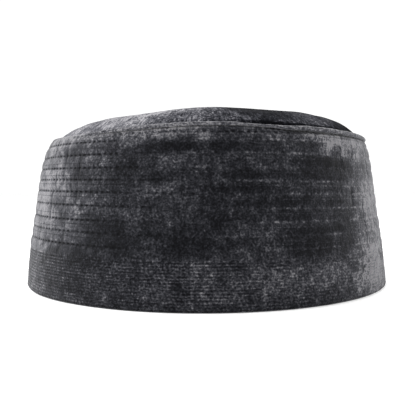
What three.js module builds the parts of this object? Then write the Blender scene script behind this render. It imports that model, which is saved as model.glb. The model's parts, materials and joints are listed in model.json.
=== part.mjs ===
// A velvet kufi: a low oval cap with a quilted side band, a rolled edge round the top of the band
// and a soft crown panel that swells a little above it.
//
// Millimetres, +Z up. The origin is on the surface that the rim rests on, in the middle of the rim.
// The front of the cap faces -Y and the wearer's left and right are along X.

import * as THREE from "three";

// ---- driving sizes ------------------------------------------------------------------------------
const RIM_HALF_WIDTH = 87; // outer oval of the rim, across
const RIM_HALF_LENGTH = 100; // outer oval of the rim, front to back
const TAPER = 0.1205; // the wall leans in this much for each millimetre of height
const WALL = 3.0; // velvet, interlining and inner cloth, quilted together
const RIM_ROUND = 0.8; // the turned rim is rounded by this much outside and inside

// The wide stitch rows that go all the way round: mean height, and how much lower each one runs on
// the +X side and higher on the -X side.
const ROWS = [
  { height: 22.8, tilt: 0.8 },
  { height: 27.7, tilt: 0.9 },
  { height: 32.6, tilt: 0.9 },
  { height: 38.0, tilt: 1.3 },
  { height: 43.3, tilt: 1.0 },
  { height: 48.2, tilt: 1.0 },
  { height: 53.2, tilt: 0.6 },
  { height: 58.35, tilt: 0.2 },
];
const ROW_DEPTH = 0.45; // how far a row pulls the velvet in
const HEM_HEIGHT = 19.0; // closely stitched band above the rim
const FLARE = 0.5; // the thick hem stands out by this much where it is fullest

const WELT_HEIGHT = 1.7; // rolled edge at the top of the band
const WELT_WIDTH = 3.5;
const WELT_PROUD = 0.45; // the roll stands out from the wall
const GAP = 0.3; // between neighbouring pieces

const CROWN_CLOTH = 1.8; // thickness of the crown panel
const CROWN_RISE = 10.2; // how far the panel swells above its edge
const CROWN_SQUARE = 5.6; // a high power keeps the middle flat and the border steep
const CROWN_CRISP = 2.2; // added to that power on the +X side, which stands up more stiffly
const CROWN_SOFT = 0.78;
const CROWN_LIMP = 0.12; // added to that on the -X side, where the border falls away more softly
const CROWN_HEM = 3.4; // the panel's border goes down inside the band by this much
const CROWN_MIDDLE = 68.7; // level from which the swell is measured in the middle

const AROUND = 84; // flats in one turn

// Height of the rolled edge round the cap. Angle 0 is the front and 90 the +X side.
// The edge peaks at the front and the back, where such a cap is folded flat, and sinks at the sides.
const EDGE = [
  { angle: -180, height: 70.0 },
  { angle: -150, height: 69.0 },
  { angle: -120, height: 68.6 },
  { angle: -90, height: 68.6 },
  { angle: -50, height: 67.4 },
  { angle: -30, height: 68.4 },
  { angle: 0, height: 70.1 },
  { angle: 30, height: 69.3 },
  { angle: 60, height: 68.5 },
  { angle: 90, height: 67.9 },
  { angle: 120, height: 67.7 },
  { angle: 150, height: 68.7 },
  { angle: 180, height: 70.0 },
];

// How far the top of the wall slumps in. The -X side is slack and the +X side is crisp.
const SLUMP_FROM = 42;
const SLUMP = [
  { angle: -180, inward: 0.8 },
  { angle: -135, inward: 2.4 },
  { angle: -90, inward: 5.6 },
  { angle: -50, inward: 3.3 },
  { angle: 0, inward: 0.5 },
  { angle: 60, inward: 1.6 },
  { angle: 90, inward: 2.0 },
  { angle: 130, inward: 0.8 },
  { angle: 180, inward: 0.8 },
];

// Soft folds and hollows of the crown panel. turn is the direction of the fold from the Y axis.
const FOLDS = [
  { x: 4, y: -10, turn: 2, halfLength: 62, halfWidth: 13, rise: 0.7 }, // ridge of the flat fold
  { x: -37, y: -22, turn: -14, halfLength: 40, halfWidth: 19, rise: -0.8 }, // hollow on the slack side
  { x: 49, y: -20, turn: 12, halfLength: 38, halfWidth: 11, rise: 0.5 }, // stiff fold near the +X border
  { x: 36, y: 0, turn: 0, halfLength: 75, halfWidth: 30, rise: 0.4 }, // fuller half
  { x: 26, y: 30, turn: 40, halfLength: 30, halfWidth: 12, rise: -0.8 },
  { x: -30, y: 40, turn: -35, halfLength: 26, halfWidth: 11, rise: 0.7 },
];

// ---- shape functions ----------------------------------------------------------------------------
const rad = THREE.MathUtils.degToRad;

// Smooth periodic reading of a table with an angle column.
function readTable(table, column, angleDeg) {
  const n = table.length - 1; // the last row repeats the first
  let a = angleDeg;
  while (a < -180) a += 360;
  while (a >= 180) a -= 360;
  let i = 0;
  while (i < n - 1 && table[i + 1].angle <= a) i++;
  const t = (a - table[i].angle) / (table[i + 1].angle - table[i].angle);
  const v = (k) => table[((k % n) + n) % n][column];
  const [p0, p1, p2, p3] = [v(i - 1), v(i), v(i + 1), v(i + 2)];
  return (
    0.5 *
    (2 * p1 +
      (p2 - p0) * t +
      (2 * p0 - 5 * p1 + 4 * p2 - p3) * t * t +
      (3 * p1 - p0 - 3 * p2 + p3) * t * t * t)
  );
}
const edgeHeight = (deg) => readTable(EDGE, "height", deg);
const slump = (deg) => readTable(SLUMP, "inward", deg);

// The thick hem stands out a little: 1 where it is fullest.
const flare = (z) => Math.max(0, 1 - ((z - 14) / (z < 14 ? 14 : 20)) ** 2);

// A point of the wall: angle round the cap, height, and distance outwards from the outer face.
function wallPoint(deg, z, out) {
  const up = Math.max(0, z - SLUMP_FROM) / (edgeHeight(deg) - SLUMP_FROM);
  const lean =
    TAPER * z + slump(deg) * (0.5 * up ** 2 + 0.5 * up ** 8) - FLARE * flare(z);
  const a = RIM_HALF_WIDTH - lean;
  const b = RIM_HALF_LENGTH - lean;
  const s = Math.sin(rad(deg));
  const c = Math.cos(rad(deg));
  const normal = new THREE.Vector2(s / a, -c / b).normalize();
  return new THREE.Vector3(a * s + normal.x * out, -b * c + normal.y * out, z);
}

// Revolves a section and then moves each vertex with place(deg, radius, height).
function turned(section, place) {
  const geometry = new THREE.LatheGeometry(
    section.map(([radius, height]) => new THREE.Vector2(radius, height)),
    AROUND,
  );
  const position = geometry.getAttribute("position");
  for (let i = 0; i < position.count; i++) {
    const radius = Math.hypot(position.getX(i), position.getZ(i));
    const deg =
      (Math.atan2(position.getX(i), position.getZ(i)) * 180) / Math.PI;
    const p = place(deg, radius, position.getY(i));
    position.setXYZ(i, p.x, p.y, p.z);
  }
  geometry.computeVertexNormals();
  return geometry;
}

function piece(name, geometry, colour, roughness) {
  const mesh = new THREE.Mesh(
    geometry,
    new THREE.MeshStandardMaterial({ color: colour, roughness, metalness: 0 }),
  );
  mesh.name = name;
  return mesh;
}

// ---- side band ----------------------------------------------------------------------------------
// The section is drawn with its outer face at radius BASE, so that radius - BASE is the distance out.
const BASE = 100;
const rowTop = ROWS[ROWS.length - 1].height;
const BAND_NOMINAL = rowTop + 10; // top of the section, stretched to the sloping edge

function bandSection() {
  const outer = [
    [BASE - RIM_ROUND, 0],
    [BASE - 0.15, RIM_ROUND],
    [BASE + 0.05, 3],
    [BASE, HEM_HEIGHT / 2],
    [BASE - 0.1, HEM_HEIGHT - 1],
  ];
  for (let row = 0; row < ROWS.length; row++) {
    const z = ROWS[row].height;
    const next = row + 1 < ROWS.length ? ROWS[row + 1].height : z + 5.2;
    outer.push([BASE - ROW_DEPTH, z]);
    outer.push([BASE + 0.1, (z + next) / 2]);
  }
  outer.push([BASE - 0.2, BAND_NOMINAL - 2.6]);
  outer.push([BASE - 0.3, BAND_NOMINAL]);
  const inner = [];
  for (const z of [BAND_NOMINAL, rowTop, 44, 30, 15, RIM_ROUND + 0.5])
    inner.push([BASE - WALL, z]);
  inner.push([BASE - WALL + RIM_ROUND, 0]);
  return [...outer, ...inner, outer[0]];
}

// How far the rows are tilted at a height: not at all at the hem, and read between the rows above it.
function tiltAt(height) {
  const table = [{ height: HEM_HEIGHT - 1, tilt: 0 }, ...ROWS, { height: BAND_NOMINAL, tilt: 0 }];
  for (let i = 0; i + 1 < table.length; i++) {
    const [low, high] = [table[i], table[i + 1]];
    if (height >= low.height && height <= high.height)
      return THREE.MathUtils.mapLinear(height, low.height, high.height, low.tilt, high.tilt);
  }
  return 0;
}

function placeBand(deg, radius, height) {
  let z = height;
  if (height > rowTop) {
    const top = edgeHeight(deg) - WELT_HEIGHT - GAP;
    z = rowTop + ((height - rowTop) / (BAND_NOMINAL - rowTop)) * (top - rowTop);
  }
  return wallPoint(deg, z - tiltAt(height) * Math.sin(rad(deg)), radius - BASE);
}

// ---- rolled edge --------------------------------------------------------------------------------
function weltSection() {
  const w = WELT_WIDTH / 2;
  const h = WELT_HEIGHT / 2;
  const middle = BASE + WELT_PROUD - w;
  const corners = [
    [w, -0.5],
    [w, 0.35],
    [0.62 * w, 1],
    [-0.62 * w, 1],
    [-w, 0.35],
    [-w, -1],
    [0.75 * w, -1],
  ].map(([across, up]) => [middle + across, up * h]);
  return [...corners, corners[0]];
}

function placeWelt(deg, radius, height) {
  const top = edgeHeight(deg);
  const on = wallPoint(deg, top - WELT_HEIGHT / 2, radius - BASE);
  return new THREE.Vector3(on.x, on.y, top - WELT_HEIGHT / 2 + height);
}

// ---- crown panel --------------------------------------------------------------------------------
const CROWN_INSET = WELT_WIDTH - WELT_PROUD + GAP; // inside the rolled edge

function crownHeight(x, y, share, deg) {
  const border = edgeHeight(deg) - 0.4;
  const level = CROWN_MIDDLE + (border - CROWN_MIDDLE) * share * share;
  const square = CROWN_SQUARE + CROWN_CRISP * Math.max(0, Math.sin(rad(deg))) ** 2;
  const soft = CROWN_SOFT + CROWN_LIMP * Math.max(0, -Math.sin(rad(deg))) ** 2;
  let z = level + CROWN_RISE * Math.pow(1 - Math.pow(share, square), soft);
  for (const f of FOLDS) {
    const c = Math.cos(rad(f.turn));
    const s = Math.sin(rad(f.turn));
    const along = ((y - f.y) * c + (x - f.x) * s) / f.halfLength;
    const across = ((x - f.x) * c - (y - f.y) * s) / f.halfWidth;
    z +=
      f.rise * Math.exp(-along * along - across * across) * (1 - share ** 6);
  }
  return z;
}

// Radius 0 to 1 is the panel's share of the way from its middle to its border; the height column says
// which face: 1 the upper face, 0 the lower one, and -1 the bottom of the turned-down border.
function crownSection() {
  const shares = [0, 0.16, 0.32, 0.47, 0.6, 0.71, 0.8, 0.87, 0.925, 0.965, 0.988, 1];
  const upper = shares.map((s) => [s, 1]);
  const lower = [1, 0.97, 0.92, 0.84, 0.72, 0.55, 0.35, 0.17, 0].map((s) => [s, 0]);
  return [...upper, [1, -1], [1 - 1e-3, -2], ...lower].reverse();
}

function placeCrown(deg, radius, face) {
  const share = Math.min(1, radius);
  const isLower = face < 0.5 && face > -0.5;
  const isHem = face < -0.5;
  const top = edgeHeight(deg);
  const inset = isLower || face < -1.5 ? CROWN_INSET + CROWN_CLOTH - 0.2 : CROWN_INSET;
  const border = wallPoint(deg, top - 1, -inset);
  if (isHem) return new THREE.Vector3(border.x, border.y, top - CROWN_HEM);
  const outerBorder = wallPoint(deg, top - 1, -CROWN_INSET);
  const z = crownHeight(share * outerBorder.x, share * outerBorder.y, share, deg);
  return new THREE.Vector3(
    share * border.x,
    share * border.y,
    isLower ? z - CROWN_CLOTH : z,
  );
}

// ---- the cap ------------------------------------------------------------------------------------
const CHARCOAL = 0x3a3a3e;
const cap = new THREE.Group();
cap.add(piece("side_band", turned(bandSection(), placeBand), CHARCOAL, 0.95));
cap.add(piece("edge_welt", turned(weltSection(), placeWelt), 0x55555a, 0.95));
cap.add(piece("crown_top", turned(crownSection(), placeCrown), 0x46464b, 0.95));

export default cap;
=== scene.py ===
import json
import math

import bpy
import numpy as np
from mathutils import Matrix

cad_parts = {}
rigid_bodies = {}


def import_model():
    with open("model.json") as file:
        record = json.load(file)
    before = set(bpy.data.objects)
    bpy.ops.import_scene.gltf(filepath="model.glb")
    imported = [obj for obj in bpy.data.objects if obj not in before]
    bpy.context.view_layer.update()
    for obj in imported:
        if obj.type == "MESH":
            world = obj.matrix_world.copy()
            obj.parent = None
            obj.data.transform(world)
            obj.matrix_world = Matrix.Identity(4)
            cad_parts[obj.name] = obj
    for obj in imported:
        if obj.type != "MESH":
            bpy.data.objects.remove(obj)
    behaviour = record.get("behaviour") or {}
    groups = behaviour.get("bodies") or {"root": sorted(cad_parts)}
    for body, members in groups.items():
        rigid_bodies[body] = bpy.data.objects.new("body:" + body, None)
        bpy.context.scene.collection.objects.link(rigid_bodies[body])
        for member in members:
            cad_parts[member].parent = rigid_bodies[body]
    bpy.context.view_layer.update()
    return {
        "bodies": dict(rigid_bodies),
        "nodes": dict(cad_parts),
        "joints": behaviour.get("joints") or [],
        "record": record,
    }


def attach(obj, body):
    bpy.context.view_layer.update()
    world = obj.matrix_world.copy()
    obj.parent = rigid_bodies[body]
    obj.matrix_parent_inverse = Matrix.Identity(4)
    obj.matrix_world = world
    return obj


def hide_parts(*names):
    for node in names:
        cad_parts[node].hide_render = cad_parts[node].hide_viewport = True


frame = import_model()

MM = 0.001

# ---- sizes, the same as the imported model's -------------------------------------------------------
RIM_HALF_WIDTH, RIM_HALF_LENGTH, TAPER, WALL = 87.0, 100.0, 0.1205, 3.0
HEM_HEIGHT = 19.0
WELT_HEIGHT, WELT_WIDTH, WELT_PROUD, GAP = 1.7, 3.5, 0.45, 0.3
CROWN_CLOTH, CROWN_RISE, CROWN_SQUARE, CROWN_CRISP, CROWN_SOFT, CROWN_LIMP = 1.8, 10.2, 5.6, 2.2, 0.78, 0.12
CROWN_HEM, CROWN_MIDDLE, SLUMP_FROM, FLARE = 3.4, 68.7, 42.0, 0.5
CROWN_INSET = WELT_WIDTH - WELT_PROUD + GAP
EDGE = [(-180, 70.0), (-150, 69.0), (-120, 68.6), (-90, 68.6), (-50, 67.4), (-30, 68.4), (0, 70.1),
        (30, 69.3), (60, 68.5), (90, 67.9), (120, 67.7), (150, 68.7), (180, 70.0)]
SLUMP = [(-180, 0.8), (-135, 2.4), (-90, 5.6), (-50, 3.3), (0, 0.5), (60, 1.6), (90, 2.0), (130, 0.8),
         (180, 0.8)]
# x, y, turn, half length, half width, rise
FOLDS = [(4, -10, 2, 62, 13, 0.7), (-37, -22, -14, 40, 19, -0.8), (49, -20, 12, 38, 11, 0.5),
         (36, 0, 0, 75, 30, 0.4), (26, 30, 40, 30, 12, -0.8), (-30, 40, -35, 26, 11, 0.7)]
# each stitch row: its mean height, and how much lower it runs on the +X side and higher on the other
ROWS = [(22.8, 0.8), (27.7, 0.9), (32.6, 0.9), (38.0, 1.3), (43.3, 1.0), (48.2, 1.0), (53.2, 0.6), (58.35, 0.2),
        (63.6, 0.1)]
UPPER_ROW = 66.3  # a level row close under the edge at the front and the back
HEM_PITCH = 1.22
STITCHES, HEM_STITCHES = 178, 300  # in one turn of a wide row, and of a close one


def read_table(table, angle):
    """Smooth periodic reading of a table of (angle, value)."""
    a = (np.asarray(angle, float) + 180.0) % 360.0 - 180.0
    at = np.array([row[0] for row in table], float)
    value = np.array([row[1] for row in table], float)
    n = len(table) - 1
    i = np.clip(np.searchsorted(at, a, side="right") - 1, 0, n - 1)
    t = (a - at[i]) / (at[i + 1] - at[i])
    p0, p1, p2, p3 = value[(i - 1) % n], value[i % n], value[(i + 1) % n], value[(i + 2) % n]
    return 0.5 * (2 * p1 + (p2 - p0) * t + (2 * p0 - 5 * p1 + 4 * p2 - p3) * t * t
                  + (3 * p1 - p0 - 3 * p2 + p3) * t ** 3)


def edge_height(deg):
    return read_table(EDGE, deg)


def flare(z):
    """The thick hem stands out a little: 1 where it is fullest."""
    return np.maximum(0.0, 1 - ((z - 14) / np.where(z < 14, 14.0, 20.0)) ** 2)


def wall_frame(deg, z):
    edge = edge_height(deg)
    up = np.maximum(0.0, z - SLUMP_FROM) / (edge - SLUMP_FROM)
    lean = TAPER * z + read_table(SLUMP, deg) * (0.5 * up ** 2 + 0.5 * up ** 8) - FLARE * flare(z)
    a, b = RIM_HALF_WIDTH - lean, RIM_HALF_LENGTH - lean
    s, c = np.sin(np.radians(deg)), np.cos(np.radians(deg))
    nx, ny = s / a, -c / b
    length = np.hypot(nx, ny)
    return a * s, -b * c, nx / length, ny / length


def wall_point(deg, z, out):
    """A point of the wall, from its angle, height and distance outwards from the outer face."""
    x, y, nx, ny = wall_frame(deg, z)
    return np.stack([x + nx * out, y + ny * out, z + 0.0 * x], axis=-1)


# ---- seeded noise, periodic round the cap --------------------------------------------------------
GRIDS = {}


def noise(turn, level, cells, seed):
    """Smooth noise from -1 to 1. turn is 0 to 1 round the cap, in `cells` cells; level is in cells."""
    if (cells, seed) not in GRIDS:
        GRIDS[cells, seed] = np.random.default_rng(seed).uniform(-1.0, 1.0, (256, cells))
    grid = GRIDS[cells, seed]
    x, y = (turn % 1.0) * cells, level + 100.0
    i, j = np.floor(x).astype(int), np.floor(y).astype(int)
    fx, fy = x - i, y - j
    fx, fy = fx * fx * (3 - 2 * fx), fy * fy * (3 - 2 * fy)
    i0, i1, j0, j1 = i % cells, (i + 1) % cells, j % 256, (j + 1) % 256
    return ((grid[j0, i0] * (1 - fx) + grid[j0, i1] * fx) * (1 - fy)
            + (grid[j1, i0] * (1 - fx) + grid[j1, i1] * fx) * fy)


def cloud(turn, level, cells, seed, octaves=3, gain=0.55):
    """Layers of noise, each twice as fine as the one before."""
    total, weight, norm = 0.0, 1.0, 0.0
    for k in range(octaves):
        total = total + weight * noise(turn, level * 2 ** k, cells * 2 ** k, seed + 17 * k)
        norm += weight
        weight *= gain
    return total / norm


def smoothstep(lo, hi, v):
    t = np.clip((v - lo) / (hi - lo), 0.0, 1.0)
    return t * t * (3 - 2 * t)


def centred(deg):
    return (np.asarray(deg, float) + 180.0) % 360.0 - 180.0


def window(deg, start, rise, fall, end):
    """1 between rise and fall and 0 outside start to end, in degrees round the cap."""
    d = centred(deg)
    return smoothstep(start, rise, d) * (1 - smoothstep(fall, end, d))


# ---- the stitch rows -----------------------------------------------------------------------------
def slack(deg):
    """1 on the slack side, where the cloth of the band rolls over the edge without a ridge."""
    return window(deg, -144, -130, -46, -29)


def row_level(index, deg):
    height, tilt = ROWS[index]
    return height - tilt * np.sin(np.radians(deg))


def row_height(index, deg):
    """A sewn row isn't perfectly level."""
    return row_level(index, deg) + 0.18 * noise(np.asarray(deg, float) / 360.0, index * 3.0, 9, 40 + index)


def strip_at(deg, z):
    """Number of the strip between two rows, from -1, and the share of the way up in it."""
    index, low, high = 0.0 * z - 1.0, HEM_HEIGHT + 0.0 * z, 68.4 + 0.0 * z
    for i in range(len(ROWS)):
        level = row_level(i, deg)
        index = index + (z >= level)
        low = np.where(z >= level, level, low)
    for i in range(len(ROWS))[::-1]:
        level = row_level(i, deg)
        high = np.where(z < level, level, high)
    return index, np.clip((z - low) / (high - low), 0.0, 1.0)


def upper_row_share(deg):
    d = centred(deg)
    return np.maximum(smoothstep(-48, -44, d) * (1 - smoothstep(30, 38, d)), smoothstep(142, 150, np.abs(d)))


def topstitch_share(deg):
    return 1 - window(deg, -142, -132, -44, -37)


def crispness(deg):
    """1 where the edge is topstitched into a full ridge."""
    return window(deg, 12, 30, 104, 134)


def topstitch_height(deg):
    return edge_height(deg) - WELT_HEIGHT - 0.24 - 0.45 * crispness(deg)


def band_top(deg):
    return edge_height(deg) - WELT_HEIGHT - 0.1 + 1.1 * slack(deg) - 0.45 * crispness(deg)


def all_rows(deg):
    """Height, share, phase of the stitches and depth factor of each row."""
    one = np.ones_like(np.asarray(deg, float))
    rows = [(row_height(i, deg), one, 0.37 * i, 1.0) for i in range(len(ROWS))]
    rows.append((UPPER_ROW * one, upper_row_share(deg), 0.2, 0.55))
    crisp = crispness(deg)
    rows.append((topstitch_height(deg), topstitch_share(deg), 0.7, 0.10 + 1.0 * crisp))
    return rows


def row_groove(deg, z):
    """Depth of the pulled-in rows."""
    turn = np.asarray(deg, float) / 360.0
    depth = 0.0
    wide = 0.21 - 0.09 * smoothstep(40, 60, np.abs(centred(deg))) * (1 - smoothstep(90, 120, np.abs(centred(deg))))
    for height, share, phase, factor in all_rows(deg):
        dz = np.abs(z - height)
        hole = (0.5 + 0.5 * np.cos(2 * np.pi * (STITCHES * turn + phase))) ** 3
        depth = depth + share * factor * (wide * np.exp(-(dz / 1.7) ** 2) + 0.22 * np.exp(-(dz / 0.6) ** 2)
                                          + 0.20 * hole * np.exp(-(dz / 0.7) ** 2))
    return depth


def row_marks(deg, z):
    """For the material: distance to the nearest row, its stitches counted round, and its strength: painted shade below
    0, painted highlight above 0.
    """
    turn = (np.asarray(deg, float) + 180.0) / 360.0
    d = centred(deg)
    zero = 0.0 * turn
    best, count, strength = zero + 9.0, zero, zero
    # painted shade along the rows on the slack side and a little at the middle front; painted highlight along them
    # elsewhere, where the pile opens and catches light
    dark = window(deg, -150, -128, -34, -14)
    light = window(deg, -16, 6, 150, 170)
    middle = window(deg, -24, -12, 6, 14)
    crisp = crispness(deg)
    for i, (height, share, phase, factor) in enumerate(all_rows(deg)):
        off = np.where(share > 0.5, z - height, 9.0)
        if i < len(ROWS):
            painted_row_shading = (-0.42 * dark + 0.18 * light - 0.10 * middle + 0.10 * noise(turn, i * 1.7, 40, 141)
                    + 0.20 * noise(turn, i * 2.3, 150, 142))
        # the upper row and the topstitch: painted shade along them, deepest in the groove under the crisp ridge
        elif i == len(ROWS):
            painted_row_shading = -0.30 + 0.0 * turn
        else:
            painted_row_shading = -0.10 - 0.75 * crisp
        nearer = np.abs(off) < np.abs(best)
        best = np.where(nearer, off, best)
        count = np.where(nearer, STITCHES * turn + phase, count)
        strength = np.where(nearer, painted_row_shading, strength)
    hem = z < HEM_HEIGHT - 0.4
    wave = (z + hem_wander(deg, z) - 0.9) / HEM_PITCH
    k = np.floor(wave + 0.5)
    best = np.where(hem, (wave - k) * HEM_PITCH * 1.5, best)
    count = np.where(hem, HEM_STITCHES * turn + 0.31 * k, count)
    # painted shade along the close hem rows, deeper on the slack side and weaker on the crisp side
    strength = np.where(hem, -0.16 - 0.20 * window(deg, -160, -130, -50, -30) + 0.10 * window(deg, 0, 20, 120, 150), strength)
    return best, count, strength


# Creases that run down the wall: angle, lowest and highest point, width in degrees, depth.
CREASES = [(-46, 48, 61, 0.55, 0.30), (-52, 33, 44, 0.6, 0.30), (-39, 40, 63, 0.45, 0.16),
           (-33, 22, 40, 0.5, 0.14), (-58, 20, 36, 0.5, 0.18), (-64, 38, 60, 0.6, 0.2),
           (-27, 50, 60, 0.45, 0.14), (47, 38, 45, 0.7, 0.28), (43, 54, 62, 0.5, 0.2),
           (53, 24, 40, 0.6, 0.18), (61, 30, 58, 0.7, 0.2), (31, 60, 65, 0.8, 0.22),
           (96, 28, 52, 0.6, 0.2), (118, 35, 62, 0.6, 0.22), (149, 22, 44, 0.6, 0.2),
           (-98, 30, 60, 0.7, 0.24), (-121, 24, 48, 0.6, 0.2), (-150, 40, 62, 0.6, 0.22),
           (172, 30, 55, 0.5, 0.15), (-170, 25, 50, 0.5, 0.15)]


def hem_wander(deg, z):
    turn = np.asarray(deg, float) / 360.0
    return 0.16 * noise(turn, 0.3 * z / HEM_PITCH, 24, 71) + 0.1 * noise(turn, z / 6.0, 70, 72)


def hem_wave(deg, z):
    """The close rows above the rim: 1 between them and 0 on them."""
    return 0.5 - 0.5 * np.cos(2 * np.pi * (z + hem_wander(deg, z) - 0.9) / HEM_PITCH)


def cell_creases(deg, z):
    """Short creases that run down inside one strip between two rows: 1 in a crease."""
    turn = np.asarray(deg, float) / 360.0
    strip, up = strip_at(deg, z)
    bend = 0.004 * noise(turn, z / 7.0, 60, 151)
    sharp = 1 - np.abs(noise(turn + bend, strip * 2.37 + 0.5, 62, 152))
    through = 1 - np.abs(noise(turn + bend, z / 40.0, 38, 153))
    return smoothstep(0.80, 0.98, sharp) + 0.8 * smoothstep(0.86, 0.99, through)


def band_out(deg, z):
    """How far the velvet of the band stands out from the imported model's outer face."""
    turn = np.asarray(deg, float) / 360.0
    hem = 1 - smoothstep(HEM_HEIGHT - 0.6, HEM_HEIGHT + 1.2, z)
    out = 0.24 - 0.16 * smoothstep(24, 40, z) - row_groove(deg, z)
    # puckers between the rows, each strip its own
    strip, up = strip_at(deg, z)
    inside = np.sin(np.pi * up)
    loose = 1 + 0.9 * window(deg, -150, -130, -40, -20)
    pucker = noise(turn, strip * 7.31 + 0.5, 74, 5) * 0.08 + noise(turn, strip * 5.17 + 0.5, 150, 6) * 0.05
    out = out + (1 - hem) * inside * (pucker * loose - 0.10 * loose * cell_creases(deg, z))
    out = out + (1 - hem) * 0.06 * cloud(turn, z / 3.6, 160, 9, 2)
    for at, low, high, width, amount in CREASES:
        d = centred(np.asarray(deg, float) - at)
        body = smoothstep(low - 2, low + 2, z) * (1 - smoothstep(high - 2, high + 2, z))
        out = out - amount * body * (np.exp(-(d / width) ** 2) - 0.35 * np.exp(-((d - 2.2 * width) / (1.6 * width)) ** 2))
    # the closely sewn hem is flatter, with fine ridges that come and go
    ridge = hem_wave(deg, z)
    strength = 0.7 + 0.3 * noise(turn, z / 4.0, 60, 15)
    hem_out = 0.12 + 0.28 * (ridge - 0.5) * strength + 0.08 * cloud(turn, z / 2.4, 210, 18, 2)
    out = out * (1 - hem) + hem_out * hem
    # soft unevenness of the whole wall
    out = out + 0.22 * noise(turn, z / 26.0, 13, 21) + 0.10 * noise(turn, z / 11.0, 34, 22)
    # the strip of velvet is joined at the back
    d = (np.asarray(deg, float) + 360.0) % 360.0 - 180.0
    out = out - 0.42 * np.exp(-(d / 0.42) ** 2) + 0.14 * np.exp(-((np.abs(d) - 1.5) / 0.8) ** 2)
    # rounded rim and the top, which goes in under the rolled edge
    out = out - 0.75 * (1 - smoothstep(0.0, 1.5, z)) ** 2
    out = out - (0.12 + 0.40 * crispness(deg)) * (1 - slack(deg)) * smoothstep(-0.6, 0.0, z - band_top(deg))
    return out


# Patches painted lighter (+) or darker (-): the lie of the pile, and on the lit sides and under the edge painted light
# and sheen: angle, height, half widths, tilt, strength.
BAND_TONE_AND_LIGHT_PATCHES = [
    # slack side: lighter, partly the pile brushed up and partly painted light of the lit left side, with a torn border
    # towards the front
    (-68, 34, 24, 36, 0, 0.33), (-50, 44, 15, 24, 4, 0.30), (-33, 46, 9, 12, -2, 0.06), (-26, 36.5, 9, 4.4, -2, 0.10),
    (-35, 30, 8, 9, 0, 0.12), (-64, 50, 7, 16, 0, 0.15), (-63, 30, 6, 9, 0, 0.12), (-33, 58, 7, 5, 0, 0.16), (-49, 37, 7, 9, 0, -0.14),
    (-41, 20, 13, 3.6, 0, -0.12),
    # lighter along the top: painted light that fills the shade under the rolled edge
    (-52, 65.5, 16, 4.2, 0, 0.27), (-30, 65.5, 15, 3.9, 0, 0.26), (-10, 66.8, 13, 3.5, 0, 0.37), (18, 66.6, 12, 3.0, 0, 0.22),
    # small light patches of the front
    (-7, 46.0, 5, 4.0, 0, 0.14), (0, 64.0, 2.2, 3.2, 0, 0.14), (-9, 55.5, 4.5, 3.0, 5, 0.14), (-16, 44, 6, 3, 0, 0.10),
    (15, 55.8, 4.5, 3.0, -8, 0.04), (26, 56.8, 6, 2.4, 0, 0.12), (24, 54.0, 4.0, 1.8, 0, 0.14), (15, 30.0, 4.0, 7.5, 0, 0.08),
    (19, 21.8, 4.6, 4.4, 0, 0.10), (23, 44.6, 7.0, 2.0, 0, 0.03),
    # crisp side: a light wedge under the edge, and a light strip towards the side that is partly painted sheen of the
    # grazing side
    (38, 65.4, 10, 3.4, -6, 0.34), (47, 61.6, 11, 6.6, 0, 0.34), (36.5, 62.0, 3.4, 5.0, 0, 0.22), (66, 53, 8, 6, 0, -0.08), (61, 64.3, 12, 3.2, 0, 0.20), (36, 66.4, 9, 1.8, 0, 0.16), (47, 46.0, 4, 8, 0, 0.18),
    (57, 33, 9, 30, 0, 0.38), (76, 36, 16, 34, 0, 0.40), (56, 52.5, 5, 4.5, 0, -0.18), (52, 40.5, 7, 5, 0, 0.16),
    (46, 18.5, 8, 4, 0, 0.16), (48, 11, 6, 7, 0, 0.12), (57, 24.5, 5, 5, 0, -0.10),
    # hem
    (0, 10, 30, 9.5, 0, 0.15), (-2, 11, 4, 7, 0, 0.08), (28, 12, 19, 6, 0, 0.16), (-52, 12, 12, 7, 0, 0.08), (38, 10, 9, 7, 0, 0.12),
    (58, 9, 14, 12, 0, 0.33),
    # dark bruises
    (-10, 61.0, 6.5, 2.2, 0, -0.20), (4, 60.8, 9, 1.9, 0, -0.18), (-22, 53.0, 5, 3.8, 6, -0.14),
    (-13, 49.6, 6, 1.8, 0, -0.14), (12, 50.2, 11, 2.0, 0, -0.26), (33, 55.3, 11, 2.5, 0, -0.28),
    (33, 50.1, 10, 2.1, 0, -0.26), (11, 45.2, 11, 2.0, 0, -0.22), (23, 40.0, 21, 2.0, 0, -0.20),
    (-25, 27, 9, 7, -10, -0.26), (-5, 25.5, 14, 6, 0, -0.18), (32, 29.2, 13, 2.0, 0, -0.24),
    (30, 22.4, 13, 4.4, 0, -0.22), (4, 33.5, 4, 4.0, 0, -0.16), (-6, 7.5, 2.5, 5, 0, -0.14),
    (-54, 2.8, 18, 2.6, 0, 0.20), (46, 50.5, 6, 3.5, 0, -0.12), (-14, 31.5, 4, 3, 0, -0.10), (27, 26, 6, 3, 0, -0.08), (24, 35, 13, 2.2, 0, -0.12), (45, 55.0, 8, 2.2, 0, -0.22), (38, 52.6, 12, 2.0, 0, -0.12),
    (41, 47, 3, 8, 0, -0.10), (42, 31, 5, 10, 0, -0.09), (-32, 17, 8, 3, 0, -0.08), (-62, 15, 14, 4, 0, -0.14),
    # the sides and the back, in the same manner
    (104, 52, 12, 6, 6, -0.20), (122, 30, 10, 12, 0, 0.16), (139, 46, 9, 5, -6, -0.20),
    (158, 24, 12, 5, 0, -0.20), (171, 50, 8, 8, 0, 0.16), (-171, 34, 12, 4, 0, -0.18),
    (-150, 55, 9, 5, 8, 0.14), (-136, 28, 12, 8, 0, -0.20), (-112, 46, 11, 7, 0, -0.16),
    (-98, 22, 9, 8, 0, 0.12), (88, 22, 8, 6, 0, -0.14), (150, 66, 16, 3.6, 0, 0.22), (-160, 66, 16, 3.4, 0, 0.24),
    (128, 12, 16, 6, 0, 0.12), (178, 10, 14, 7, 0, 0.12), (-130, 11, 14, 6, 0, 0.12),
]


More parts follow.
